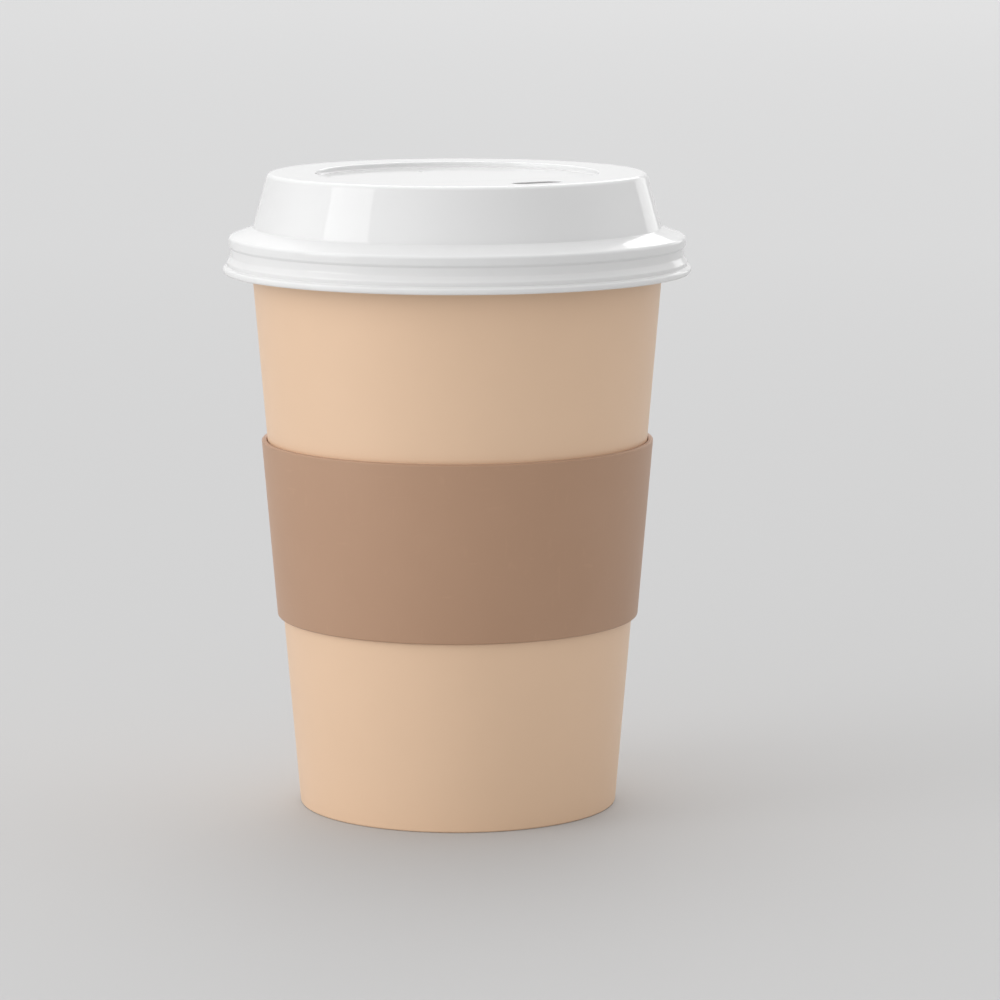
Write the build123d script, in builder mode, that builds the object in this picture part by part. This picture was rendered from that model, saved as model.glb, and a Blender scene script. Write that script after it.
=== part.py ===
"""A paper coffee cup with its card sleeve and its press-on sip lid.

Lengths are in millimetres. The origin is the centre of the cup's foot, on the surface that it
stands on, with +Z up. The seams are at the back, towards +Y.
"""

from build123d import *
import os
from math import cos, radians, sin, tan

# Cup: a wrapped paperboard wall with a rolled rim and a folded foot.
cup_height = 114.5
foot_radius = 31.76
wall_angle = 4.78
board = 0.35
rim_roll_radius = 1.75
rim_roll_turn = 300.0
foot_fold_radius = 0.25
foot_hem_height = 6.0
seam_width = 6.5
seam_end_gap = 0.2

# Base: a disc with a down-turned skirt, glued between the wall and the foot's hem.
base_recess = 7.2
base_bend_radius = 0.6
glue_gap = 0.04

# Sleeve: a tapered card band, glued in a lap.
sleeve_low = 38.1
sleeve_height = 35.55
sleeve_card = 1.05
sleeve_gap = 0.12
sleeve_top_round = 0.3
sleeve_low_round = 0.45
sleeve_lap_width = 13.0
sleeve_lap_card = 0.55

# Lid, below the shoulder: waist, ridge and lip, as heights above the lip's lower edge.
lid_wall = 0.4
lid_clearance = 0.25
lid_seat_gap = 0.1
lid_skirt_depth = 7.5
lip_stand_out = 1.45
lip_turn_in = 0.25
lip_turn_height = 0.3
lip_height = 1.1
groove_height = 1.45
groove_stand_out = 0.6
ridge_height = 2.3
ridge_stand_out = 0.75
waist_low = 3.4
waist_high = 4.95
bulge_low = 5.45
bulge_stand_out = 0.35

# Lid, above the rim: sloping shoulder and dome.
shoulder_angle = 19.8
shoulder_width = 3.8
dome_height = 10.82
dome_lean = 3.0

# Lid's roundings, from the lip to the top.
lip_round = 0.45
groove_round = 0.15
ridge_round = 0.5
waist_round = 0.6
bulge_round = 0.45
shoulder_round = 0.7
dome_foot_round = 0.5
dome_top_round = 1.1

# Lid's top: a D-shaped recess, a drinking slot beyond its straight side, and a vent.
sip_direction = -60.0
recess_radius = 28.0
recess_flat = 21.7
recess_depth = 1.0
recess_corner = 3.0
recess_floor_round = 0.45
recess_edge_round = 0.35
slot_length = 10.6
slot_width = 3.6
slot_distance = 31.2
vent_radius = 0.6
vent_distance = 15.0


def cone_radius(height, depth=0.0):
    """Radius at a height of the cone that lies a depth inside the cup's outer face."""
    return foot_radius + height * tan(radians(wall_angle)) - depth / cos(radians(wall_angle))


def cone_band(low, high, outside, inside, low_round=0.0, high_round=0.0):
    """A band round the cup between two depths, negative outside its outer face."""
    with BuildPart() as band:
        with BuildSketch(Plane.XZ):
            with BuildLine():
                FilletPolyline(
                    (cone_radius(low, inside), low),
                    (cone_radius(low, outside), low),
                    (cone_radius(high, outside), high),
                    (cone_radius(high, inside), high),
                    radius=(low_round, low_round, high_round, high_round),
                    close=True,
                )
            make_face()
        revolve(axis=Axis.Z)
    return band.part


def back_strip(width, low, high, outside, inside, low_round=0.0, high_round=0.0):
    """The strip of such a band that lies within a width at the back, where the seams are."""
    band = cone_band(low, high, outside, inside, low_round, high_round)
    with BuildPart() as strip:
        add(band)
        with BuildSketch():
            Rectangle(width, 2 * rim_outer_radius, align=(Align.CENTER, Align.MIN))
        extrude(amount=cup_height, mode=Mode.INTERSECT)
    return strip.part


# Rolled rim: the wall's middle line runs tangent into the roll's.
roll_line_radius = rim_roll_radius - board / 2
roll_height = cup_height - rim_roll_radius
roll_start_height = roll_height + roll_line_radius * sin(radians(wall_angle))
roll_start_radius = cone_radius(roll_start_height, board / 2)
roll_centre_radius = roll_start_radius + roll_line_radius * cos(radians(wall_angle))
rim_outer_radius = roll_centre_radius + rim_roll_radius

# Foot: wall, glue, base skirt, glue and hem, from the outside in.
skirt_depth = board + glue_gap
hem_line_depth = skirt_depth + board + glue_gap + board / 2

seam_low = board / 2 + foot_fold_radius
seam_high = roll_height - rim_roll_radius - seam_end_gap
seam_lap = back_strip(seam_width, seam_low, seam_high, -board, board / 2)

with BuildPart() as cup_wall:
    with BuildSketch(Plane.XZ):
        with BuildLine():
            rising = FilletPolyline(
                (cone_radius(foot_hem_height, hem_line_depth), foot_hem_height),
                (cone_radius(board / 2, hem_line_depth), board / 2),
                (cone_radius(board / 2, board / 2), board / 2),
                (roll_start_radius, roll_start_height),
                radius=foot_fold_radius,
            )
            JernArc(
                start=rising @ 1,
                tangent=rising % 1,
                radius=roll_line_radius,
                arc_size=-rim_roll_turn,
            )
        trace(line_width=board)
    revolve(axis=Axis.Z)
    add(seam_lap)

base_top = base_recess + board
skirt_low = board + glue_gap

with BuildPart() as cup_base:
    with BuildSketch(Plane.XZ):
        with BuildLine():
            FilletPolyline(
                (0, base_top),
                (cone_radius(base_top, skirt_depth), base_top),
                (cone_radius(skirt_low, skirt_depth), skirt_low),
                radius=base_bend_radius,
            )
            offset(amount=board, side=Side.RIGHT)
        make_face()
    revolve(axis=Axis.Z)

# Sleeve: its lap lies over the cup's seam, which a channel inside the band clears.
sleeve_high = sleeve_low + sleeve_height
sleeve_face = sleeve_gap + sleeve_card
lap_face = sleeve_face + sleeve_lap_card
sleeve_band = cone_band(
    sleeve_low,
    sleeve_high,
    -sleeve_face,
    -sleeve_gap,
    sleeve_low_round,
    sleeve_top_round,
)
sleeve_lap = back_strip(
    sleeve_lap_width,
    sleeve_low,
    sleeve_high,
    -lap_face,
    -sleeve_gap,
    sleeve_low_round,
    sleeve_top_round,
)
seam_channel = back_strip(
    seam_width + 2 * sleeve_gap,
    sleeve_low - sleeve_card,
    sleeve_high + sleeve_card,
    -board - sleeve_gap,
    0,
)

with BuildPart() as sleeve:
    add(sleeve_band)
    add(sleeve_lap)
    add(seam_channel, mode=Mode.SUBTRACT)

# Lid: the waist clears the rim's widest ring, and the shoulder lies on the roll.
lip_low = cup_height - lid_skirt_depth
waist_radius = rim_outer_radius + lid_clearance + lid_wall
lip_radius = waist_radius + lip_stand_out
bulge_radius = waist_radius + bulge_stand_out
dome_foot_radius = rim_outer_radius - shoulder_width
seat_rise = (rim_roll_radius + lid_seat_gap + lid_wall) / cos(radians(shoulder_angle))


def shoulder_height(radius):
    """Height of the shoulder's outer face, which slopes down outwards over the rolled rim."""
    return roll_height + seat_rise - (radius - roll_centre_radius) * tan(radians(shoulder_angle))


dome_foot_height = shoulder_height(dome_foot_radius)
lid_top = dome_foot_height + dome_height
dome_top_radius = dome_foot_radius - dome_lean
top_plane = Plane.XY.offset(lid_top).rotated((0, 0, sip_direction))


def recess_block(grow):
    """The recess as a block under the lid's top, a circle cut by a straight side, larger by a margin."""
    with BuildPart() as block:
        with BuildSketch(top_plane) as outline:
            Circle(recess_radius + grow)
            with Locations((recess_flat + grow, 0)):
                Rectangle(
                    recess_radius,
                    2 * (recess_radius + grow),
                    align=(Align.MIN, Align.CENTER),
                    mode=Mode.SUBTRACT,
                )
            fillet(outline.vertices(), recess_corner + grow)
        extrude(amount=-recess_depth - grow)
        fillet(block.edges().group_by(Axis.Z)[0], recess_floor_round + grow)
    return block.part


recess_pan = recess_block(lid_wall)
recess_hollow = recess_block(0)

with BuildPart() as lid:
    with BuildSketch(Plane.XZ):
        with BuildLine():
            FilletPolyline(
                (lip_radius - lip_turn_in, lip_low),
                (lip_radius, lip_low + lip_turn_height),
                (lip_radius, lip_low + lip_height),
                (waist_radius + groove_stand_out, lip_low + groove_height),
                (waist_radius + ridge_stand_out, lip_low + ridge_height),
                (waist_radius, lip_low + waist_low),
                (waist_radius, lip_low + waist_high),
                (bulge_radius, lip_low + bulge_low),
                (bulge_radius, shoulder_height(bulge_radius)),
                (dome_foot_radius, dome_foot_height),
                (dome_top_radius, lid_top),
                (0, lid_top),
                radius=(
                    lip_round,
                    lip_round,
                    groove_round,
                    ridge_round,
                    waist_round,
                    groove_round,
                    bulge_round,
                    shoulder_round,
                    dome_foot_round,
                    dome_top_round,
                ),
            )
            offset(amount=lid_wall, side=Side.LEFT)
        make_face()
    revolve(axis=Axis.Z)
    add(recess_pan)
    add(recess_hollow, mode=Mode.SUBTRACT)
    lid_top_face = lid.faces().sort_by(Axis.Z)[-1]
    fillet(lid_top_face.inner_wires().edges(), recess_edge_round)
    with BuildSketch(top_plane):
        with Locations((slot_distance, 0)):
            SlotOverall(slot_length, slot_width, rotation=90)
        with Locations((-vent_distance, 0)):
            Circle(vent_radius)
    extrude(amount=-recess_depth - 2 * lid_wall, mode=Mode.SUBTRACT)

os.makedirs("parts", exist_ok=True)
cup_wall.part.label = "cup_wall"
cup_base.part.label = "cup_base"
sleeve.part.label = "sleeve"
lid.part.label = "lid"
export_step(cup_wall.part, "parts/cup_wall.step")
export_step(cup_base.part, "parts/cup_base.step")
export_step(sleeve.part, "parts/sleeve.step")
export_step(lid.part, "parts/lid.step")
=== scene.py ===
"""A paper coffee cup with its card sleeve and its press-on sip lid, in a plain pale studio.

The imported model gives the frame. Each piece that is made here stands for its node, in the same
place and at the same size. Pieces are modelled in millimetres and are in metres once finished.
"""

import logging
from dataclasses import dataclass, field
from enum import Enum
from math import atan2, ceil, cos, degrees, hypot, pi, radians, sin, sqrt, tan
from typing import Callable, Iterable, Sequence

import bmesh
import bpy
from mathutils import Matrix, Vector


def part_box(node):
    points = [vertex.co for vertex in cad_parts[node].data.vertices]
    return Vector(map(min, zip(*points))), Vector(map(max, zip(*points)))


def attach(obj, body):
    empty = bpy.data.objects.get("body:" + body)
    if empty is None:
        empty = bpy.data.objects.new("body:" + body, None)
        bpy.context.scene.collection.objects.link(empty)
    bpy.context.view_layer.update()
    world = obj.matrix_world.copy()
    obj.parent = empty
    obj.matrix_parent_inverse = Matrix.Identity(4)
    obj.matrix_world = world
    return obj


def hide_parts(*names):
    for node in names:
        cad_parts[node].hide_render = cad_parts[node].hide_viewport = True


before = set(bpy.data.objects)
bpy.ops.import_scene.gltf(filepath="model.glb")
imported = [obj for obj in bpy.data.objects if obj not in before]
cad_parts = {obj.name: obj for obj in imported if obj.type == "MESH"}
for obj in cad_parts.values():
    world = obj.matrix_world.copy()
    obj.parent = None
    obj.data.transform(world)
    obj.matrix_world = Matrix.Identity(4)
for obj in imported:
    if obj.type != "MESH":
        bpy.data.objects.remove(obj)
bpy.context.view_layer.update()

Point = tuple[float, float]
Colour = tuple[float, float, float]

MM = 0.001

# How finely round forms are divided. The steps of an arc, a wide one and a small one, and the
# angle of a hard edge are in degrees.
RING_POINTS = 192
ARC_STEP = 9.0
WIDE_ARC_STEP = 3.0
SMALL_ARC_STEP = 18.0
SMOOTH_ANGLE = 32.0

# Distances in millimetres: a plane's thickness in a cut, points that merge, and points in one place.
TINY = 1e-5
MERGE = 1e-3
NEAR = 0.01

# At a lap: how wide the cuts reach, as a share of its width, which share of its height the eased
# side loses, how deep in the board its raw edge starts, and how squarely a face must look its way.
LAP_REACH = 1.5
LAP_EASE = 0.94
RAW_DEPTH = 0.4
FACING = 0.5
SQUARE = 0.9

# Where the wall's lining and its cut board stand among its materials, after its outer face's.
LINING_INDEX = 1
RAW_INDEX = 2

log = logging.getLogger("paper_cup")


class Body(Enum):
    """The bodies of the frame that the pieces ride on."""

    CUP = "cup"
    SLEEVE = "sleeve"
    LID = "lid"


class Slot(Enum):
    """The record's material slots."""

    CUP_PAPER = "cup_paper"
    BASE_PAPER = "base_paper"
    SLEEVE_CARD = "sleeve_card"
    LID_PLASTIC = "lid_plastic"


class Pick(Enum):
    """What is selected on a mesh."""

    POINTS = "VERT"
    FACES = "FACE"


def arc(centre: Point, radius: float, start: float, turn: float, step: float = ARC_STEP) -> list[Point]:
    """Points along an arc, both ends included.

    Args:
        centre: The arc's centre.
        radius: The arc's radius.
        start: The direction of its first point from the centre, in radians.
        turn: How far it turns, in radians, negative for clockwise.
        step: The largest turn between two points, in degrees.

    Returns:
        The arc's points in order.
    """
    count = max(2, ceil(degrees(abs(turn)) / step))
    angles = [start + turn * index / count for index in range(count + 1)]
    return [(centre[0] + radius * cos(angle), centre[1] + radius * sin(angle)) for angle in angles]


def rounded(corners: Sequence[Point], radii: Sequence[float]) -> list[Point]:
    """Round the inner corners of an open outline with arcs tangent to their sides.

    Args:
        corners: The outline's points from end to end.
        radii: One radius for each point between the two ends.

    Returns:
        The outline with each inner corner replaced by its arc.
    """
    outline = [corners[0]]
    for before, corner, after, radius in zip(corners, corners[1:], corners[2:], radii):
        here = Vector(corner)
        back = (Vector(before) - here).normalized()
        ahead = (Vector(after) - here).normalized()
        half = back.angle(ahead) / 2
        centre = here + (back + ahead).normalized() * radius / sin(half)
        first = here + back * radius / tan(half) - centre
        last = here + ahead * radius / tan(half) - centre
        start = atan2(first.y, first.x)
        turn = (atan2(last.y, last.x) - start + pi) % (2 * pi) - pi
        outline += arc(tuple(centre), radius, start, turn)
    return outline + [corners[-1]]


def turned(points: Iterable[Point], angle: float) -> list[Point]:
    """Turn flat points about the axis by an angle in radians."""
    return [(x * cos(angle) - y * sin(angle), x * sin(angle) + y * cos(angle)) for x, y in points]


def node_heights(node: str) -> Point:
    """A node's lowest and highest height, in millimetres."""
    low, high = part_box(node)
    return low.z / MM, high.z / MM


class Bench:
    """A mesh on the bench, modelled in edit mode in millimetres, and then finished in metres."""

    def __init__(self, name: str, start: Point) -> None:
        """Add a ring about the axis and enter edit mode with it selected.

        Args:
            name: The piece's name.
            start: The ring's radius and height.
        """
        bpy.ops.object.select_all(action="DESELECT")
        bpy.ops.mesh.primitive_circle_add(vertices=RING_POINTS, radius=start[0], location=(0, 0, start[1]))
        self.piece = bpy.context.active_object
        self.piece.name = name
        bpy.ops.object.transform_apply(location=True, rotation=False, scale=False)
        bpy.ops.object.mode_set(mode="EDIT")
        bpy.ops.mesh.select_mode(type="VERT")
        bpy.ops.mesh.select_all(action="SELECT")
        self.radius, self.height = start

    def turn(self, outline: Iterable[Point]) -> None:
        """Extrude the selected ring along an outline.

        Args:
            outline: The radius and height of each ring that follows.
        """
        for radius, height in outline:
            rise = (0, 0, height - self.height)
            bpy.ops.mesh.extrude_edges_move(TRANSFORM_OT_translate={"value": rise})
            ratio = radius / self.radius
            bpy.ops.transform.resize(value=(ratio, ratio, 1), center_override=(0, 0, 0))
            self.radius, self.height = radius, height

    def merge(self) -> None:
        """Merge points that lie together, such as a last ring on the first one, and faces with no area."""
        bpy.ops.mesh.select_all(action="SELECT")
        bpy.ops.mesh.remove_doubles(threshold=MERGE)
        bpy.ops.mesh.dissolve_degenerate(threshold=MERGE)

    def close_pole(self) -> None:
        """Merge the selected ring into one point on the axis."""
        bpy.ops.mesh.extrude_edges_move()
        bpy.ops.mesh.merge(type="CENTER")

    def loop(self, points: Sequence[Point], height: float) -> None:
        """Draw a closed flat loop of edges and leave it alone selected.

        Args:
            points: The loop's points in order.
            height: The height that it lies at.
        """
        bpy.ops.mesh.select_all(action="DESELECT")
        bpy.ops.mesh.primitive_circle_add(vertices=len(points), radius=1, location=(0, 0, height))
        mesh = bmesh.from_edit_mesh(self.piece.data)
        ring = [vertex for vertex in mesh.verts if vertex.select]
        first = ring[0]
        walk, edge = [first], first.link_edges[0]
        while len(walk) < len(ring):
            walk.append(edge.other_vert(walk[-1]))
            edge = next(link for link in walk[-1].link_edges if link is not edge)
        for vertex, (x, y) in zip(walk, points):
            vertex.co = (x, y, height)
        bmesh.update_edit_mesh(self.piece.data)

    def choose(self, kind: Pick, test: Callable[[Vector, Vector], bool]) -> None:
        """Select the points or faces whose place and normal pass a test, and nothing else.

        Args:
            kind: Whether points or faces are selected.
            test: Takes the point or the face's middle, and the normal, and says whether to select.
        """
        bpy.ops.mesh.select_all(action="DESELECT")
        bpy.ops.mesh.select_mode(type=kind.value)
        mesh = bmesh.from_edit_mesh(self.piece.data)
        mesh.normal_update()
        if kind is Pick.POINTS:
            parts = [(vertex, vertex.co, vertex.normal) for vertex in mesh.verts]
        else:
            parts = [(face, face.calc_center_median(), face.normal) for face in mesh.faces]
        for part, middle, normal in parts:
            if test(middle, normal):
                part.select_set(True)
        bmesh.update_edit_mesh(self.piece.data)

    def cut(self, point: Sequence[float], normal: Sequence[float]) -> None:
        """Cut the selected faces by a plane."""
        bpy.ops.mesh.bisect(plane_co=point, plane_no=normal, threshold=TINY)

    def face_out(self, test: Callable[[Vector], bool]) -> None:
        """Flip the mesh if the faces in a place don't point away from the axis.

        Args:
            test: Takes a face's middle and says whether the face is in that place.
        """
        mesh = bmesh.from_edit_mesh(self.piece.data)
        mesh.normal_update()
        away = 0.0
        for face in mesh.faces:
            middle = face.calc_center_median()
            if test(middle):
                away += face.normal.x * middle.x + face.normal.y * middle.y
        bpy.ops.mesh.select_all(action="SELECT")
        if away < 0:
            bpy.ops.mesh.flip_normals()

    def thicken(self, wall: float, offset: float, inner: int = 0, edge: int = 0) -> None:
        """Give the sheet its wall, and stay in edit mode.

        Args:
            wall: The wall's thickness.
            offset: Which side it grows to, from -1 for inwards to 1 for outwards.
            inner: How many material slots further the inner face is.
            edge: How many material slots further the cut edge is.
        """
        bpy.ops.object.mode_set(mode="OBJECT")
        bpy.ops.object.modifier_add(type="SOLIDIFY")
        solidify = self.piece.modifiers[-1]
        solidify.thickness = wall
        solidify.offset = offset
        solidify.use_even_offset = True
        solidify.material_offset = inner
        solidify.material_offset_rim = edge
        bpy.ops.object.modifier_apply(modifier=solidify.name)
        bpy.ops.object.mode_set(mode="EDIT")

    def finish(self, body: Body, slot: Slot, node: str) -> bpy.types.Object:
        """Bring the piece to metres and tie it to the frame.

        Args:
            body: The body that it rides on.
            slot: The material slot that it stands for; not used.
            node: The node that it stands for.

        Returns:
            The finished object.
        """
        bpy.ops.object.mode_set(mode="OBJECT")
        self.piece.scale = (MM, MM, MM)
        bpy.ops.object.transform_apply(location=False, rotation=False, scale=True)
        bpy.ops.object.shade_smooth_by_angle(angle=radians(SMOOTH_ANGLE))
        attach(self.piece, body.value)
        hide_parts(node)
        return self.piece


class Graph:
    """A node tree with short ways to add and join its nodes."""

    def __init__(self, tree: bpy.types.NodeTree) -> None:
        """Keep the tree that is filled."""
        self.tree = tree

    def add(self, kind: str, inputs: dict | None = None, **settings: object) -> bpy.types.Node:
        """Add a node.

        Args:
            kind: The node's type, without its ShaderNode prefix.
            inputs: Sockets by name or number, each with a value or with another node's output.
            settings: The node's own properties.

        Returns:
            The new node.
        """
        prefix = "" if kind.startswith("Node") else "ShaderNode"
        node = self.tree.nodes.new(prefix + kind)
        for name, value in settings.items():
            setattr(node, name, value)
        for socket, value in (inputs or {}).items():
            if isinstance(value, bpy.types.NodeSocket):
                self.tree.links.new(value, node.inputs[socket])
            else:
                node.inputs[socket].default_value = value
        return node

    def blend(
        self, mask: bpy.types.NodeSocket, low: Colour | bpy.types.NodeSocket, high: Colour
    ) -> bpy.types.NodeSocket:
        """A colour that goes from one to another with a mask.

        Args:
            mask: How much of the second colour there is.
            low: The first colour, fixed or from another node.
            high: The second colour.

        Returns:
            The blended colour.
        """
        first = low if isinstance(low, bpy.types.NodeSocket) else (*low, 1)
        # The colours' sockets share their names with the node's other ones, so they go by number.
        mix = self.add("Mix", {0: mask, 6: first, 7: (*high, 1)}, data_type="RGBA")
        return mix.outputs[2]

    def remap(self, value: bpy.types.NodeSocket, source: Point, target: Point) -> bpy.types.NodeSocket:
        """A value brought from one range to another, and held at the ends."""
        ranges = {0: value, 1: source[0], 2: source[1], 3: target[0], 4: target[1]}
        return self.add("MapRange", ranges).outputs[0]


def new_group(
    name: str, inputs: dict[str, str], outputs: dict[str, str]
) -> tuple[Graph, dict[str, bpy.types.NodeSocket], bpy.types.Node]:
    """Start a shader node group.

    Args:
        name: The group's name.
        inputs: Its input sockets' names and types.
        outputs: Its output sockets' names and types.

    Returns:
        Its graph, its inputs by name, and its output node.
    """
    tree = bpy.data.node_groups.new(name, "ShaderNodeTree")
    for socket, kind in inputs.items():
        tree.interface.new_socket(socket, in_out="INPUT", socket_type=kind)
    for socket, kind in outputs.items():
        tree.interface.new_socket(socket, in_out="OUTPUT", socket_type=kind)
    graph = Graph(tree)
    entry = graph.add("NodeGroupInput")
    return graph, dict(entry.outputs.items()), graph.add("NodeGroupOutput")


# How single fibres lie in the card, stretched one way each, and the band of noise that shows them.
FIBRE_STRETCHES = ((1.0, 1.0, 0.12), (0.16, 0.16, 1.0), (0.5, 0.5, 0.2))
FIBRE_BAND = (0.66, 0.76)
FIBRE_HEIGHT = 0.5
FIBRE_SHARE = 0.6
CLOUD_BAND = (0.3, 0.7)
FULL = (0.0, 1.0)


def fibre_group() -> bpy.types.NodeTree:
    """Pressed fibres: a fine height over the surface, and a sparse mask of single fibres.

    Returns:
        The node group.
    """
    graph, given, out = new_group(
        "pressed_fibres",
        {"Vector": "NodeSocketVector", "Scale": "NodeSocketFloat"},
        {"Height": "NodeSocketFloat", "Fibres": "NodeSocketFloat"},
    )
    links = graph.tree.links
    grain = graph.add(
        "TexNoise",
        {"Vector": given["Vector"], "Scale": given["Scale"], "Detail": 5.0, "Roughness": 0.62},
    )
    masks = []
    for stretch in FIBRE_STRETCHES:
        mapped = graph.add("Mapping", {"Vector": given["Vector"], "Scale": stretch})
        strand = graph.add(
            "TexNoise",
            {"Vector": mapped.outputs[0], "Scale": given["Scale"], "Detail": 2.0, "Distortion": 0.6},
        )
        masks.append(graph.remap(strand.outputs[0], FIBRE_BAND, FULL))
    first = graph.add("Math", {0: masks[0], 1: masks[1]}, operation="MAXIMUM")
    fibres = graph.add("Math", {0: first.outputs[0], 1: masks[2]}, operation="MAXIMUM")
    height = {0: fibres.outputs[0], 1: FIBRE_HEIGHT, 2: grain.outputs[0]}
    raised = graph.add("Math", height, operation="MULTIPLY_ADD")
    links.new(raised.outputs[0], out.inputs["Height"])
    links.new(fibres.outputs[0], out.inputs["Fibres"])
    return graph.tree


def cloud_group() -> bpy.types.NodeTree:
    """A soft cloudy mask, for tones that drift over a surface.

    Returns:
        The node group.
    """
    graph, given, out = new_group(
        "soft_clouds",
        {"Vector": "NodeSocketVector", "Scale": "NodeSocketFloat"},
        {"Mask": "NodeSocketFloat"},
    )
    noise = graph.add(
        "TexNoise",
        {"Vector": given["Vector"], "Scale": given["Scale"], "Detail": 3.0, "Roughness": 0.5},
    )
    mask = graph.remap(noise.outputs[0], CLOUD_BAND, FULL)
    graph.tree.links.new(mask, out.inputs["Mask"])
    return graph.tree


@dataclass(frozen=True)
class Finish:
    """A surface finish with pressed fibres or a faint ripple, and drifting tones."""

    name: str
    light: Colour
    dark: Colour
    roughness: Point
    fibre_scale: float = 900.0
    fibre_tint: float = 0.0
    cloud_scale: float = 45.0
    bump: float = 0.1
    bump_depth: float = 0.00002
    sheen: float = 0.0
    specular: float = 0.5
    subsurface: float = 0.0
    subsurface_depth: float = 0.0005

    def material(self, fibres: bpy.types.NodeTree, clouds: bpy.types.NodeTree) -> bpy.types.Material:
        """Make the finish's material.

        Args:
            fibres: The pressed fibres group.
            clouds: The soft clouds group.

        Returns:
            The material.
        """
        material = bpy.data.materials.new(self.name)
        material.use_nodes = True
        material.node_tree.nodes.clear()
        graph = Graph(material.node_tree)
        place = graph.add("TexCoord").outputs["Object"]
        grain = graph.add("Group", node_tree=fibres)
        drift = graph.add("Group", node_tree=clouds)
        for group, scale in ((grain, self.fibre_scale), (drift, self.cloud_scale)):
            graph.tree.links.new(place, group.inputs["Vector"])
            group.inputs["Scale"].default_value = scale
        tone = graph.blend(drift.outputs["Mask"], self.light, self.dark)
        if self.fibre_tint:
            paler = tuple(min(1.0, part * (1 + self.fibre_tint)) for part in self.light)
            share = graph.remap(grain.outputs["Fibres"], FULL, (0.0, FIBRE_SHARE))
            tone = graph.blend(share, tone, paler)
        rough = graph.remap(drift.outputs["Mask"], FULL, self.roughness)
        bump = graph.add(
            "Bump",
            {"Strength": self.bump, "Distance": self.bump_depth, "Height": grain.outputs["Height"]},
        )
        shader = graph.add(
            "BsdfPrincipled",
            {
                "Base Color": tone,
                "Roughness": rough,
                "Normal": bump.outputs[0],
                "Specular IOR Level": self.specular,
                "Sheen Weight": self.sheen,
                "Subsurface Weight": self.subsurface,
                "Subsurface Radius": (1.0, 1.0, 1.0),
                "Subsurface Scale": self.subsurface_depth,
            },
        )
        output = graph.add("OutputMaterial")
        graph.tree.links.new(shader.outputs[0], output.inputs[0])
        return material


PEACH_PAPER = Finish(
    "peach_coated_paper",
    light=(0.8, 0.555, 0.372),
    dark=(0.78, 0.54, 0.36),
    roughness=(0.4, 0.45),
    specular=0.85,
    fibre_scale=1500.0,
    bump=0.12,
    bump_depth=0.00001,
)
WHITE_LINING = Finish(
    "white_lining",
    light=(0.83, 0.81, 0.77),
    dark=(0.8, 0.78, 0.735),
    roughness=(0.4, 0.46),
    fibre_scale=1300.0,
    bump=0.15,
    bump_depth=0.00001,
)
RAW_BOARD = Finish(
    "raw_board",
    light=(0.8, 0.76, 0.69),
    dark=(0.74, 0.7, 0.62),
    roughness=(0.82, 0.9),
    fibre_scale=1800.0,
    bump=0.4,
    bump_depth=0.00003,
)
BROWN_CARD = Finish(
    "brown_card",
    light=(0.44, 0.255, 0.152),
    dark=(0.425, 0.245, 0.145),
    roughness=(0.58, 0.64),
    fibre_scale=1100.0,
    fibre_tint=0.04,
    bump=0.25,
    bump_depth=0.000015,
    sheen=0.12,
    specular=0.9,
)
WHITE_PLASTIC = Finish(
    "white_plastic",
    light=(0.785, 0.785, 0.785),
    dark=(0.775, 0.775, 0.775),
    roughness=(0.055, 0.065),
    fibre_scale=160.0,
    bump=0.05,
    bump_depth=0.00003,
    subsurface=0.35,
)


@dataclass(frozen=True)
class Taper:
    """The cone of the cup's outer face."""

    foot_radius: float = 31.76
    angle: float = radians(4.78)

    def radius(self, height: float, depth: float = 0.0) -> float:
        """Radius at a height, a depth inside the cup's outer face."""
        return self.foot_radius + height * tan(self.angle) - depth / cos(self.angle)


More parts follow.
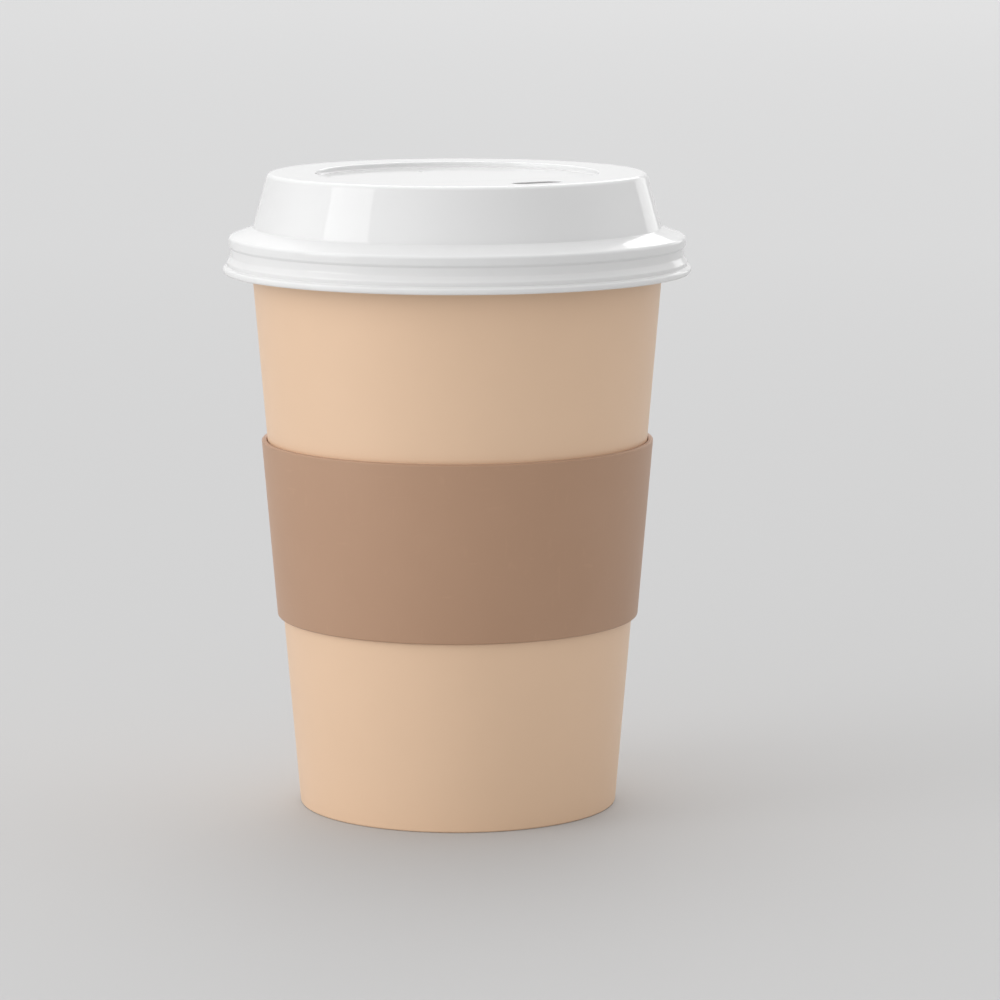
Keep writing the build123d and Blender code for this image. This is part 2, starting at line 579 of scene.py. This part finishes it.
@dataclass
class Cup:
    """The paper cup: a wrapped wall with a rolled rim and a folded foot, and a base glued into it."""

    taper: Taper
    board: float = 0.35
    roll_radius: float = 1.75
    roll_turn: float = radians(300)
    fold_radius: float = 0.25
    hem_height: float = 6.0
    seam_width: float = 6.5
    seam_end_gap: float = 0.2
    seam_ramp: float = 1.8
    base_recess: float = 7.2
    base_bend: float = 0.6
    glue_gap: float = 0.04
    height: float = field(init=False)

    def __post_init__(self) -> None:
        """Take the cup's height from the frame."""
        self.height = node_heights("cup_wall")[1]

    def roll(self) -> tuple[Point, float]:
        """The circle that the sheet's middle line follows in the rolled rim.

        Returns:
            The circle's centre, as radius and height, and its own radius.
        """
        line = self.roll_radius - self.board / 2
        height = self.height - self.roll_radius
        start_height = height + line * sin(self.taper.angle)
        start_radius = self.taper.radius(start_height, self.board / 2)
        return (start_radius + line * cos(self.taper.angle), height), line

    def wall_line(self) -> list[Point]:
        """The middle line of the wall's sheet.

        Returns:
            Its radii and heights, from the top of the hem to the end of the roll.
        """
        middle = self.board / 2
        hem_depth = 2 * (self.board + self.glue_gap) + middle
        centre, line = self.roll()
        rolled = arc(centre, line, pi - self.taper.angle, -self.roll_turn)
        corners = [
            (self.taper.radius(self.hem_height, hem_depth), self.hem_height),
            (self.taper.radius(middle, hem_depth), middle),
            (self.taper.radius(middle, middle), middle),
            rolled[0],
        ]
        return rounded(corners, [self.fold_radius] * 2) + rolled[1:]

    def build_wall(self, finishes: Sequence[bpy.types.Material]) -> bpy.types.Object:
        """Model the wall with its seam.

        Args:
            finishes: The outer face's material, the lining's and the cut board's.

        Returns:
            The wall.
        """
        line = self.wall_line()
        bench = Bench("cup_wall_paper", line[0])
        bench.turn(line[1:])
        bench.face_out(lambda middle: self.hem_height < middle.z < self.height / 2)
        for finish in finishes:
            bench.piece.data.materials.append(finish)
        bench.thicken(self.board, 0.0, inner=LINING_INDEX, edge=RAW_INDEX)
        self.add_seam(bench)
        return bench.finish(Body.CUP, Slot.CUP_PAPER, "cup_wall")

    def add_seam(self, bench: Bench) -> None:
        """Raise the lap of the side seam at the back, with one cut edge and one eased side.

        Args:
            bench: The wall's bench.
        """
        half = self.seam_width / 2
        low = self.board / 2 + self.fold_radius
        high = self.height - 2 * self.roll_radius - self.seam_end_gap
        reach = self.seam_width * LAP_REACH

        def on_face(middle: Vector, normal: Vector) -> bool:
            """Whether a face is on the wall's outer side at the back.

            Args:
                middle: The face's middle.
                normal: The face's normal.

            Returns:
                Whether it is.
            """
            outside = hypot(middle.x, middle.y) > self.taper.radius(middle.z, self.board / 2)
            below_roll = middle.z < self.height - 2 * self.roll_radius + self.board
            return abs(middle.x) < reach and middle.y > 0 and normal.y > FACING and outside and below_roll

        for point, normal in (
            ((half, 0, 0), (1, 0, 0)),
            ((-half, 0, 0), (1, 0, 0)),
            ((half - self.seam_ramp, 0, 0), (1, 0, 0)),
            ((0, 0, low), (0, 0, 1)),
            ((0, 0, high), (0, 0, 1)),
        ):
            bench.choose(Pick.FACES, on_face)
            bench.cut(point, normal)
        bench.choose(
            Pick.FACES,
            lambda middle, normal: on_face(middle, normal)
            and abs(middle.x) < half
            and low < middle.z < high,
        )
        bpy.ops.mesh.extrude_region_move(TRANSFORM_OT_translate={"value": (0, self.board, 0)})
        bench.choose(
            Pick.FACES,
            lambda middle, normal: middle.y > 0
            and abs(middle.x + half) < NEAR
            and abs(normal.x) > SQUARE
            and low < middle.z < high
            and middle.y > self.taper.radius(middle.z, self.board * RAW_DEPTH),
        )
        bench.piece.active_material_index = RAW_INDEX
        bpy.ops.object.material_slot_assign()
        bench.choose(
            Pick.POINTS,
            lambda middle, normal: abs(middle.x - half) < NEAR
            and middle.y > 0
            and hypot(middle.x, middle.y) > self.taper.radius(middle.z, -self.board / 2)
            and low - TINY < middle.z < high + TINY,
        )
        bpy.ops.transform.translate(value=(0, -self.board * LAP_EASE, 0))

    def build_base(self, finish: bpy.types.Material) -> bpy.types.Object:
        """Model the base, a disc with a skirt turned down.

        Args:
            finish: The base's material.

        Returns:
            The base.
        """
        top = self.base_recess + self.board
        depth = self.board + self.glue_gap
        corners = [
            (self.taper.radius(depth, depth), depth),
            (self.taper.radius(top, depth), top),
            (self.board, top),
        ]
        line = rounded(corners, [self.base_bend])
        bench = Bench("cup_base_paper", line[0])
        bench.turn(line[1:])
        bench.close_pole()
        bench.face_out(lambda middle: middle.z < self.base_recess / 2)
        bench.piece.data.materials.append(finish)
        bench.thicken(self.board, -1.0)
        return bench.finish(Body.CUP, Slot.BASE_PAPER, "cup_base")


@dataclass
class Sleeve:
    """The card sleeve: a tapered band glued in a lap at the back."""

    cup: Cup
    card: float = 1.05
    gap: float = 0.12
    top_round: float = 0.3
    low_round: float = 0.45
    lap_width: float = 13.0
    lap_card: float = 0.55
    lap_ramp: float = 2.6
    low: float = field(init=False)
    high: float = field(init=False)

    def __post_init__(self) -> None:
        """Take the sleeve's edges from the frame."""
        self.low, self.high = node_heights("sleeve")

    def outline(self) -> list[Point]:
        """The band's section.

        Returns:
            Its radii and heights, from the middle of the inner face round and back to it.
        """
        taper = self.cup.taper
        outside = -self.gap - self.card
        middle = (self.low + self.high) / 2
        corners = [
            (taper.radius(middle, -self.gap), middle),
            (taper.radius(self.low, -self.gap), self.low),
            (taper.radius(self.low, outside), self.low),
            (taper.radius(self.high, outside), self.high),
            (taper.radius(self.high, -self.gap), self.high),
            (taper.radius(middle, -self.gap), middle),
        ]
        return rounded(corners, [self.low_round, self.low_round, self.top_round, self.top_round])

    def build(self, finish: bpy.types.Material) -> bpy.types.Object:
        """Model the band, its lap and the channel that clears the cup's seam.

        Args:
            finish: The card's material.

        Returns:
            The sleeve.
        """
        line = self.outline()
        bench = Bench("card_sleeve", line[0])
        bench.turn(line[1:])
        bench.merge()
        taper = self.cup.taper
        bench.face_out(lambda middle: hypot(middle.x, middle.y) > taper.radius(middle.z, -self.card))
        bench.piece.data.materials.append(finish)
        core = -self.gap - self.card / 2
        self.shift_strip(
            bench,
            self.lap_width / 2,
            self.lap_card,
            self.lap_ramp,
            lambda reach, height: reach > taper.radius(height, core),
        )
        self.shift_strip(
            bench,
            self.cup.seam_width / 2 + self.gap,
            self.cup.board,
            0.0,
            lambda reach, height: reach < taper.radius(height, core),
        )
        bench.merge()
        return bench.finish(Body.SLEEVE, Slot.SLEEVE_CARD, "sleeve")

    def shift_strip(
        self, bench: Bench, half: float, step: float, ramp: float, side: Callable[[float, float], bool]
    ) -> None:
        """Move a strip of one side of the band outwards at the back.

        Args:
            bench: The sleeve's bench.
            half: Half the strip's width.
            step: How far it moves.
            ramp: The width over which its right side eases back, or none.
            side: Takes a reach from the axis and a height, and says whether the point is on that side.
        """

        def at_back(middle: Vector, normal: Vector) -> bool:
            """Whether a face is on that side of the band at the back."""
            reach = hypot(middle.x, middle.y)
            return middle.y > 0 and abs(middle.x) < 2 * half and side(reach, middle.z)

        for offset in (half, -half, half - ramp):
            bench.choose(Pick.FACES, at_back)
            bench.cut((offset, 0, 0), (1, 0, 0))
        bench.choose(Pick.FACES, lambda middle, normal: at_back(middle, normal) and abs(middle.x) < half)
        bpy.ops.mesh.extrude_region_move(TRANSFORM_OT_translate={"value": (0, step, 0)})
        if ramp:
            depth = -self.gap - self.card - step / 2
            bench.choose(
                Pick.POINTS,
                lambda middle, normal: abs(middle.x - half) < NEAR
                and middle.y > 0
                and hypot(middle.x, middle.y) > self.cup.taper.radius(middle.z, depth),
            )
            bpy.ops.transform.translate(value=(0, -step * LAP_EASE, 0))


@dataclass
class Lid:
    """The formed lid: lip, ridge, waist, bulge, shoulder, dome, and a top with a D-shaped recess."""

    cup: Cup
    wall: float = 0.4
    clearance: float = 0.25
    seat_gap: float = 0.1
    lip_stand_out: float = 1.45
    lip_turn_in: float = 0.25
    lip_turn_height: float = 0.3
    lip_height: float = 1.1
    groove_height: float = 1.45
    groove_stand_out: float = 0.6
    ridge_height: float = 2.3
    ridge_stand_out: float = 0.75
    waist_low: float = 3.4
    waist_high: float = 4.95
    bulge_low: float = 5.45
    bulge_stand_out: float = 0.35
    shoulder_angle: float = radians(19.8)
    shoulder_width: float = 3.8
    dome_lean: float = 3.0
    flat_ring: float = 2.2
    # The outline's roundings, from the lip to the dome's upper edge.
    corner_radii: tuple[float, ...] = (0.45, 0.45, 0.15, 0.5, 0.6, 0.15, 0.45, 0.7, 0.5, 1.1)
    sip_direction: float = radians(-60)
    recess_radius: float = 28.0
    recess_flat: float = 21.7
    recess_depth: float = 1.0
    recess_corner: float = 3.0
    floor_round: float = 0.45
    edge_round: float = 0.35
    round_steps: int = 5
    slot_length: float = 10.6
    slot_width: float = 3.6
    slot_distance: float = 31.2
    vent_radius: float = 0.6
    vent_distance: float = 15.0
    flat_margin: float = 0.12
    low: float = field(init=False)
    top: float = field(init=False)

    def __post_init__(self) -> None:
        """Take the lid's lowest and highest heights from the frame."""
        self.low, self.top = node_heights("lid")

    def outline(self) -> list[Point]:
        """The outer face's outline.

        Returns:
            Its radii and heights, from the lip's lower edge to the flat top.
        """
        (roll_reach, roll_height), _ = self.cup.roll()
        rim = roll_reach + self.cup.roll_radius
        waist = rim + self.clearance + self.wall
        lip = waist + self.lip_stand_out
        bulge = waist + self.bulge_stand_out
        foot = rim - self.shoulder_width
        seat = roll_height + (self.cup.roll_radius + self.seat_gap + self.wall) / cos(self.shoulder_angle)
        slope = tan(self.shoulder_angle)
        corners = [
            (lip - self.lip_turn_in, self.low),
            (lip, self.low + self.lip_turn_height),
            (lip, self.low + self.lip_height),
            (waist + self.groove_stand_out, self.low + self.groove_height),
            (waist + self.ridge_stand_out, self.low + self.ridge_height),
            (waist, self.low + self.waist_low),
            (waist, self.low + self.waist_high),
            (bulge, self.low + self.bulge_low),
            (bulge, seat - (bulge - roll_reach) * slope),
            (foot, seat - (foot - roll_reach) * slope),
            (foot - self.dome_lean, self.top),
            (foot - self.dome_lean - self.flat_ring, self.top),
        ]
        return rounded(corners, self.corner_radii)

    def recess_outline(self, grow: float) -> list[Point]:
        """The recess's D seen from above, with its straight side towards the slot.

        Args:
            grow: How much larger than the recess it is.

        Returns:
            The D's points in order.
        """
        radius = self.recess_radius + grow
        corner = self.recess_corner + grow
        across = self.recess_flat + grow - corner
        along = sqrt((radius - corner) ** 2 - across**2)
        lean = atan2(along, across)
        points = arc((across, along), corner, 0, lean)
        points += arc((0, 0), radius, lean, 2 * (pi - lean), WIDE_ARC_STEP)[1:]
        points += arc((across, -along), corner, -lean, lean)[1:]
        return turned(points, self.sip_direction)

    def slot_outline(self) -> list[Point]:
        """The drinking slot's outline seen from above.

        Returns:
            The slot's points in order.
        """
        radius = self.slot_width / 2
        reach = self.slot_length / 2 - radius
        points = arc((self.slot_distance, reach), radius, 0, pi)
        points += arc((self.slot_distance, -reach), radius, pi, pi)
        return turned(points, self.sip_direction)

    def press_recess(self, bench: Bench) -> None:
        """Press the selected loop's face down in rounded steps, and leave its floor selected.

        Args:
            bench: The lid's bench.
        """
        bpy.ops.mesh.edge_face_add()
        bpy.ops.mesh.select_mode(type="FACE")
        bpy.ops.mesh.normals_make_consistent(inside=False)
        straight = self.recess_depth - self.edge_round - self.floor_round
        angles = [index * pi / 2 / self.round_steps for index in range(self.round_steps + 1)]
        steps = [(self.flat_margin, 0.0)]
        for before, after in zip(angles, angles[1:]):
            inward = self.edge_round * (sin(after) - sin(before))
            steps.append((inward, self.edge_round * (cos(after) - cos(before))))
        steps.append((0.0, -straight))
        for before, after in zip(angles, angles[1:]):
            inward = self.floor_round * (cos(before) - cos(after))
            steps.append((inward, self.floor_round * (sin(before) - sin(after))))
        steps.append((self.flat_margin, 0.0))
        for inward, rise in steps:
            bpy.ops.mesh.inset(thickness=inward, depth=rise, use_even_offset=True)

    def build(self, finish: bpy.types.Material) -> bpy.types.Object:
        """Model the lid as a sheet, and then give it its wall.

        Args:
            finish: The plastic's material.

        Returns:
            The lid.
        """
        line = self.outline()
        bench = Bench("sip_lid", line[0])
        bench.turn(line[1:])
        bench.loop(self.recess_outline(self.edge_round + self.flat_margin), self.top)
        self.press_recess(bench)
        bpy.ops.mesh.delete(type="ONLY_FACE")
        floor = self.top - self.recess_depth
        vent = turned([(-self.vent_distance, 0)], self.sip_direction)[0]
        bench.loop(arc(vent, self.vent_radius, 0, 2 * pi, SMALL_ARC_STEP)[:-1], floor)
        self.fill_flat(bench, floor, self.recess_radius)
        bench.loop(self.slot_outline(), self.top)
        self.fill_flat(bench, self.top, line[-1][0])
        bpy.ops.mesh.select_all(action="SELECT")
        bpy.ops.mesh.remove_doubles(threshold=TINY)
        bpy.ops.mesh.normals_make_consistent(inside=False)
        bench.face_out(lambda middle: middle.z < self.low + self.waist_low)
        bench.piece.data.materials.append(finish)
        bench.thicken(self.wall, -1.0)
        return bench.finish(Body.LID, Slot.LID_PLASTIC, "lid")

    def fill_flat(self, bench: Bench, height: float, reach: float) -> None:
        """Fill the flat between the open loops at a height.

        Args:
            bench: The lid's bench.
            height: The height of the loops.
            reach: The radius that they lie within.
        """
        bpy.ops.mesh.select_all(action="DESELECT")
        bpy.ops.mesh.select_mode(type="EDGE")
        mesh = bmesh.from_edit_mesh(bench.piece.data)
        for edge in mesh.edges:
            ends = [vertex.co for vertex in edge.verts]
            flat = all(abs(end.z - height) < NEAR for end in ends)
            if flat and len(edge.link_faces) < 2 and all(hypot(end.x, end.y) < reach + NEAR for end in ends):
                edge.select_set(True)
        bmesh.update_edit_mesh(bench.piece.data)
        bpy.ops.mesh.fill(use_beauty=True)


def heading(azimuth: float, elevation: float) -> Vector:
    """The direction at an azimuth from the camera's side, positive to the right, and an elevation.

    Args:
        azimuth: The azimuth in degrees.
        elevation: The elevation in degrees.

    Returns:
        A vector of length one.
    """
    turn, lift = radians(azimuth), radians(elevation)
    return Vector((sin(turn) * cos(lift), -cos(turn) * cos(lift), sin(lift)))


@dataclass(frozen=True)
class Glow:
    """A soft glow of the room, brightest along one direction and fading evenly around it."""

    azimuth: float
    elevation: float
    narrowness: float
    strength: float

    def add_to(
        self, graph: Graph, way: bpy.types.NodeSocket, sofar: bpy.types.NodeSocket | float
    ) -> bpy.types.NodeSocket:
        """Add the glow to the room's light.

        Args:
            graph: The world's graph.
            way: The direction that is looked along.
            sofar: The light before this glow.

        Returns:
            The light with this glow.
        """
        axis = tuple(heading(self.azimuth, self.elevation))
        along = graph.add("VectorMath", {0: way, 1: axis}, operation="DOT_PRODUCT")
        ahead = graph.add("Math", {0: along.outputs["Value"], 1: 0.0}, operation="MAXIMUM")
        fade = graph.add("Math", {0: ahead.outputs[0], 1: self.narrowness}, operation="POWER")
        total = {0: fade.outputs[0], 1: self.strength, 2: sofar}
        return graph.add("Math", total, operation="MULTIPLY_ADD").outputs[0]


@dataclass(frozen=True)
class SoftBox:
    """A rectangular studio light, in metres and watts, aimed at a point of the cup's axis."""

    name: str
    azimuth: float
    elevation: float
    distance: float
    width: float
    height: float
    power: float
    aim: float = 0.07

    def place(self) -> None:
        """Add the light, with its azimuth in degrees from the camera's side, positive to the right."""
        way = heading(self.azimuth, self.elevation)
        target = Vector((0, 0, self.aim))
        bpy.ops.object.light_add(type="AREA", location=target + way * self.distance)
        lamp = bpy.context.active_object
        lamp.name = self.name
        lamp.rotation_euler = (-way).to_track_quat("-Z", "Y").to_euler()
        lamp.data.shape = "RECTANGLE"
        lamp.data.size = self.width
        lamp.data.size_y = self.height
        lamp.data.energy = self.power


@dataclass
class Studio:
    """The camera, the room's even light and its glows, the soft lights and the pale floor."""

    camera_place: tuple[float, float, float] = (0.00849, -0.8545, 0.1914)
    camera_tilt: float = radians(90 - 8.679)
    lens: float = 155.3
    room_light: float = 0.345
    glows: tuple[Glow, ...] = (
        Glow(-88, 12, 7.0, 1.2),
        Glow(-30, 10, 8.0, 1.3),
        Glow(22, 8, 5.0, 0.46),
        Glow(105, 14, 5.0, 0.75),
        Glow(180, 10, 5.0, 0.52),
        Glow(-172, 60, 6.0, 1.55),
        Glow(0, 90, 3.0, 0.3),
    )
    floor_side: float = 14.0
    floor_roughness: float = 0.8
    floor_blend: Point = (-0.1, 1.2)
    floor_near: Colour = (0.507, 0.507, 0.508)
    floor_far: Colour = (0.57, 0.57, 0.572)
    lights: tuple[SoftBox, ...] = (
        SoftBox("left_window", -67, 21, 0.9, 0.42, 0.7, 1.7),
        SoftBox("back_right", 171, 24, 6.0, 2.8, 1.6, 18.4),
        SoftBox("right_edge", 147, 7, 6.0, 2.1, 1.5, 8.0),
    )

    def set_camera(self) -> None:
        """Put the camera at the photograph's place and angle."""
        bpy.ops.object.camera_add(location=self.camera_place, rotation=(self.camera_tilt, 0, 0))
        camera = bpy.context.active_object
        camera.data.lens = self.lens
        bpy.context.scene.camera = camera

    def set_room(self) -> None:
        """Light everything softly from all sides, and more from the left than from the right."""
        world = bpy.data.worlds.new("pale_room")
        bpy.context.scene.world = world
        world.use_nodes = True
        graph = Graph(world.node_tree)
        way = graph.add("TexCoord").outputs["Generated"]
        light = self.room_light
        for glow in self.glows:
            light = glow.add_to(graph, way, light)
        graph.tree.links.new(light, world.node_tree.nodes["Background"].inputs[0])

    def set_floor(self) -> None:
        """Lay the floor, whose tone rises gently with the distance behind the cup."""
        bpy.ops.object.select_all(action="DESELECT")
        bpy.ops.mesh.primitive_plane_add(size=self.floor_side)
        floor = bpy.context.active_object
        floor.name = "floor"
        material = bpy.data.materials.new("pale_floor")
        material.use_nodes = True
        material.node_tree.nodes.clear()
        graph = Graph(material.node_tree)
        place = graph.add("TexCoord").outputs["Object"]
        across = graph.add("SeparateXYZ", {0: place})
        far = graph.remap(across.outputs[1], self.floor_blend, FULL)
        tone = graph.blend(far, self.floor_near, self.floor_far)
        shader = graph.add("BsdfPrincipled", {"Base Color": tone, "Roughness": self.floor_roughness})
        output = graph.add("OutputMaterial")
        graph.tree.links.new(shader.outputs[0], output.inputs[0])
        floor.data.materials.append(material)

    def build(self) -> None:
        """Set up the camera, the room, the lights and the floor."""
        self.set_camera()
        self.set_room()
        self.set_floor()
        for light in self.lights:
            light.place()
        bpy.context.scene.view_settings.view_transform = "Standard"


def main() -> None:
    """Build the studio and the cup's pieces in order."""
    logging.basicConfig(level=logging.INFO, format="%(name)s: %(message)s")
    Studio().build()
    fibres, clouds = fibre_group(), cloud_group()
    peach, lining, raw, card, plastic = (
        finish.material(fibres, clouds)
        for finish in (PEACH_PAPER, WHITE_LINING, RAW_BOARD, BROWN_CARD, WHITE_PLASTIC)
    )
    cup = Cup(Taper())
    pieces = (
        cup.build_wall((peach, lining, raw)),
        cup.build_base(lining),
        Sleeve(cup).build(card),
        Lid(cup).build(plastic),
    )
    for piece in pieces:
        log.info("%s: %d faces", piece.name, len(piece.data.polygons))


if __name__ == "__main__":
    main()
